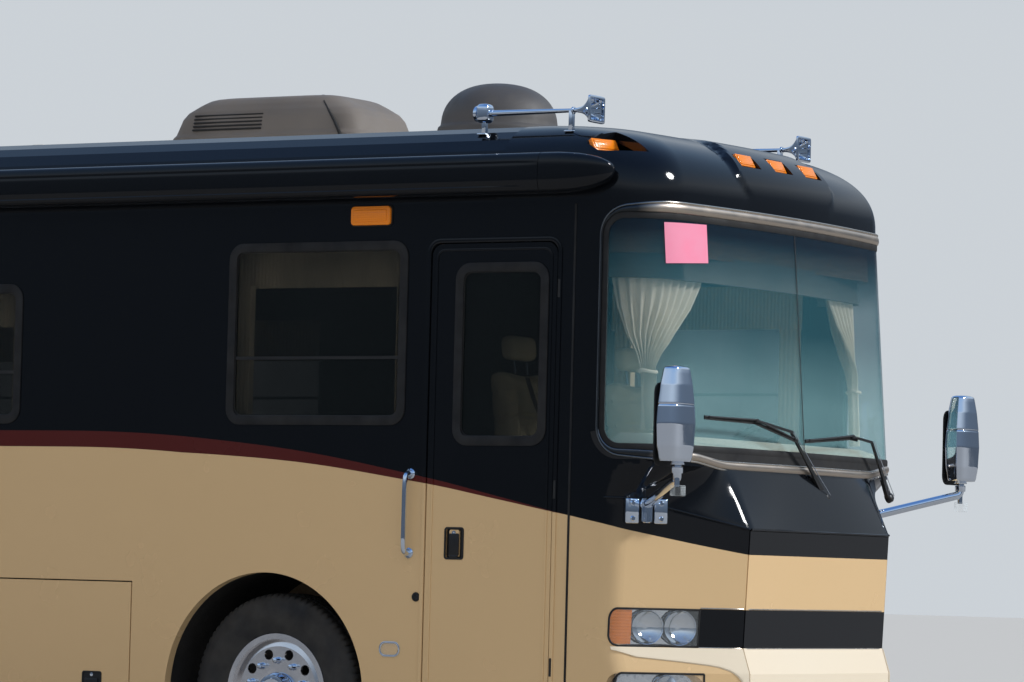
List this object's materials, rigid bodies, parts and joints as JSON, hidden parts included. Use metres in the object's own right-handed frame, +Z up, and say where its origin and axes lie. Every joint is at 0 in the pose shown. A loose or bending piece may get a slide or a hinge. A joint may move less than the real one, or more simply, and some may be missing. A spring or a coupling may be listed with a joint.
{
  "type": "motorhome",
  "caption": "Full-size rear-engined motorhome with steered front wheels, dual rear wheels, opening doors and a slide-out room.",
  "frame": {"origin": "on the ground under the middle of the vehicle's box", "axes": "nose towards -Y, +Z up, kerb side (entry door) -X, street side +X"},
  "size_m": [3.326, 12.38, 3.775],
  "materials": {
    "black_paint": "gloss black paint",
    "tan_paint": "gold tan paint with a clear coat",
    "tinted_glass": "tinted safety glass",
    "clear_lens": "clear moulded lens",
    "reflector": "bright reflector",
    "amber_lens": "amber lens",
    "red_lens": "red lens",
    "deck_board": "board",
    "black_liner": "matt black",
    "tray_steel": "grey painted steel",
    "chassis_steel": "black chassis paint",
    "engine_block": "painted cast iron",
    "polished_rim": "polished",
    "tyre_rubber": "rubber",
    "roof_shroud": "taupe moulded shroud",
    "bright_chrome": "chrome",
    "dash_vinyl": "pale grained vinyl",
    "wheel_grip": "dark grip",
    "pedestal_steel": "black",
    "seat_leather": "cream leather",
    "cabinet_wood": "varnished",
    "curtain_cloth": "cream cloth"
  },
  "bodies": {
    "coach": {"front_cap": "black_paint", "front_fascia": "tan_paint", "side_wall_kerb": "tan_paint", "side_wall_street": "tan_paint", "roof": "black_paint", "rear_cap": "black_paint", "windshield": "tinted_glass", "side_windows": "tinted_glass", "lamp_lenses": "clear_lens", "lamp_bowls": "reflector", "tail_lamps": "red_lens", "floor_deck": "deck_board", "entry_steps": "deck_board", "wheel_housings": "black_liner", "storage_trays": "tray_steel", "chassis_frame": "chassis_steel", "hitch_receiver": "chassis_steel", "engine": "engine_block", "generator": "engine_block", "front_axle": "chassis_steel", "rear_axle": "chassis_steel", "suspension": "chassis_steel", "satellite_dome": "roof_shroud", "air_conditioners": "roof_shroud", "air_horns": "bright_chrome", "awning_case": "black_paint", "mirrors": "bright_chrome", "wipers": "black_liner", "amber_lamps": "amber_lens", "grab_handle": "bright_chrome", "dashboard": "dash_vinyl", "steering_wheel": "wheel_grip", "seat_pedestals": "pedestal_steel", "cab_seats": "seat_leather", "overhead_cabinet": "cabinet_wood", "curtains": "curtain_cloth"},
    "entry_door": {"entry_door": "tan_paint", "entry_door_glass": "tinted_glass"},
    "nose_door": {"nose_door": "tan_paint"},
    "engine_door": {"engine_door": "tan_paint"},
    "slide_room": {"slide_room": "tan_paint", "slide_room_glass": "tinted_glass"},
    "knuckle_kerb": {"knuckle_kerb": "chassis_steel"},
    "front_wheel_kerb": {"front_rim_kerb": "polished_rim", "front_tyre_kerb": "tyre_rubber"},
    "rear_wheels_kerb": {"rear_rims_kerb": "polished_rim", "rear_tyres_kerb": "tyre_rubber"},
    "bay_door_kerb_1": {"bay_door_kerb_1": "tan_paint"},
    "bay_door_kerb_2": {"bay_door_kerb_2": "tan_paint"},
    "bay_door_kerb_3": {"bay_door_kerb_3": "tan_paint"},
    "knuckle_street": {"knuckle_street": "chassis_steel"},
    "front_wheel_street": {"front_rim_street": "polished_rim", "front_tyre_street": "tyre_rubber"},
    "rear_wheels_street": {"rear_rims_street": "polished_rim", "rear_tyres_street": "tyre_rubber"},
    "bay_door_street_1": {"bay_door_street_1": "tan_paint"},
    "bay_door_street_2": {"bay_door_street_2": "tan_paint"},
    "bay_door_street_3": {"bay_door_street_3": "tan_paint"}
  },
  "joints": [
    {"name": "steering_kerb", "type": "hinge", "parent": "coach", "child": "knuckle_kerb", "pos_m": [-0.88, -3.55, 0.515], "axis": [0, 0, 1], "range_deg": [-38, 38]},
    {"name": "front_spin_kerb", "type": "hinge", "parent": "knuckle_kerb", "child": "front_wheel_kerb", "pos_m": [-1.035, -3.55, 0.515], "axis": [1, 0, 0], "continuous": true},
    {"name": "rear_spin_kerb", "type": "hinge", "parent": "coach", "child": "rear_wheels_kerb", "pos_m": [-0.9, 3.1, 0.515], "axis": [1, 0, 0], "continuous": true},
    {"name": "bay_door_kerb_1_hinge", "type": "hinge", "parent": "coach", "child": "bay_door_kerb_1", "pos_m": [-1.28, -2.695, 0.743], "axis": [0, 0, 1], "range_deg": [0, 90]},
    {"name": "bay_door_kerb_2_hinge", "type": "hinge", "parent": "coach", "child": "bay_door_kerb_2", "pos_m": [-1.28, -1.025, 0.743], "axis": [0, 0, 1], "range_deg": [0, 90]},
    {"name": "bay_door_kerb_3_hinge", "type": "hinge", "parent": "coach", "child": "bay_door_kerb_3", "pos_m": [-1.28, 0.645, 0.743], "axis": [0, 0, 1], "range_deg": [0, 90]},
    {"name": "steering_street", "type": "hinge", "parent": "coach", "child": "knuckle_street", "pos_m": [0.88, -3.55, 0.515], "axis": [0, 0, 1], "range_deg": [-38, 38]},
    {"name": "front_spin_street", "type": "hinge", "parent": "knuckle_street", "child": "front_wheel_street", "pos_m": [1.035, -3.55, 0.515], "axis": [1, 0, 0], "continuous": true},
    {"name": "rear_spin_street", "type": "hinge", "parent": "coach", "child": "rear_wheels_street", "pos_m": [0.9, 3.1, 0.515], "axis": [1, 0, 0], "continuous": true},
    {"name": "bay_door_street_1_hinge", "type": "hinge", "parent": "coach", "child": "bay_door_street_1", "pos_m": [1.28, -2.695, 0.743], "axis": [0, 0, -1], "range_deg": [0, 90]},
    {"name": "bay_door_street_2_hinge", "type": "hinge", "parent": "coach", "child": "bay_door_street_2", "pos_m": [1.28, -1.025, 0.743], "axis": [0, 0, -1], "range_deg": [0, 90]},
    {"name": "bay_door_street_3_hinge", "type": "hinge", "parent": "coach", "child": "bay_door_street_3", "pos_m": [1.28, 0.645, 0.743], "axis": [0, 0, -1], "range_deg": [0, 90]},
    {"name": "entry_door_hinge", "type": "hinge", "parent": "coach", "child": "entry_door", "pos_m": [-1.28, -5.27, 1.621], "axis": [0, 0, 1], "range_deg": [0, 90]},
    {"name": "nose_door_hinge", "type": "hinge", "parent": "coach", "child": "nose_door", "pos_m": [0, -6.10169, 1.398], "axis": [-1, 0, 0], "range_deg": [0, 80]},
    {"name": "engine_door_hinge", "type": "hinge", "parent": "coach", "child": "engine_door", "pos_m": [0, 6.09, 1.56], "axis": [1, 0, 0], "range_deg": [0, 80]},
    {"name": "slide_room_travel", "type": "slide", "parent": "coach", "child": "slide_room", "axis": [1, 0, 0], "range_m": [0, 0.75]}
  ],
  "couplings": [
    {"joint": "steering_street", "follows": "steering_kerb", "ratio": 1}
  ]
}
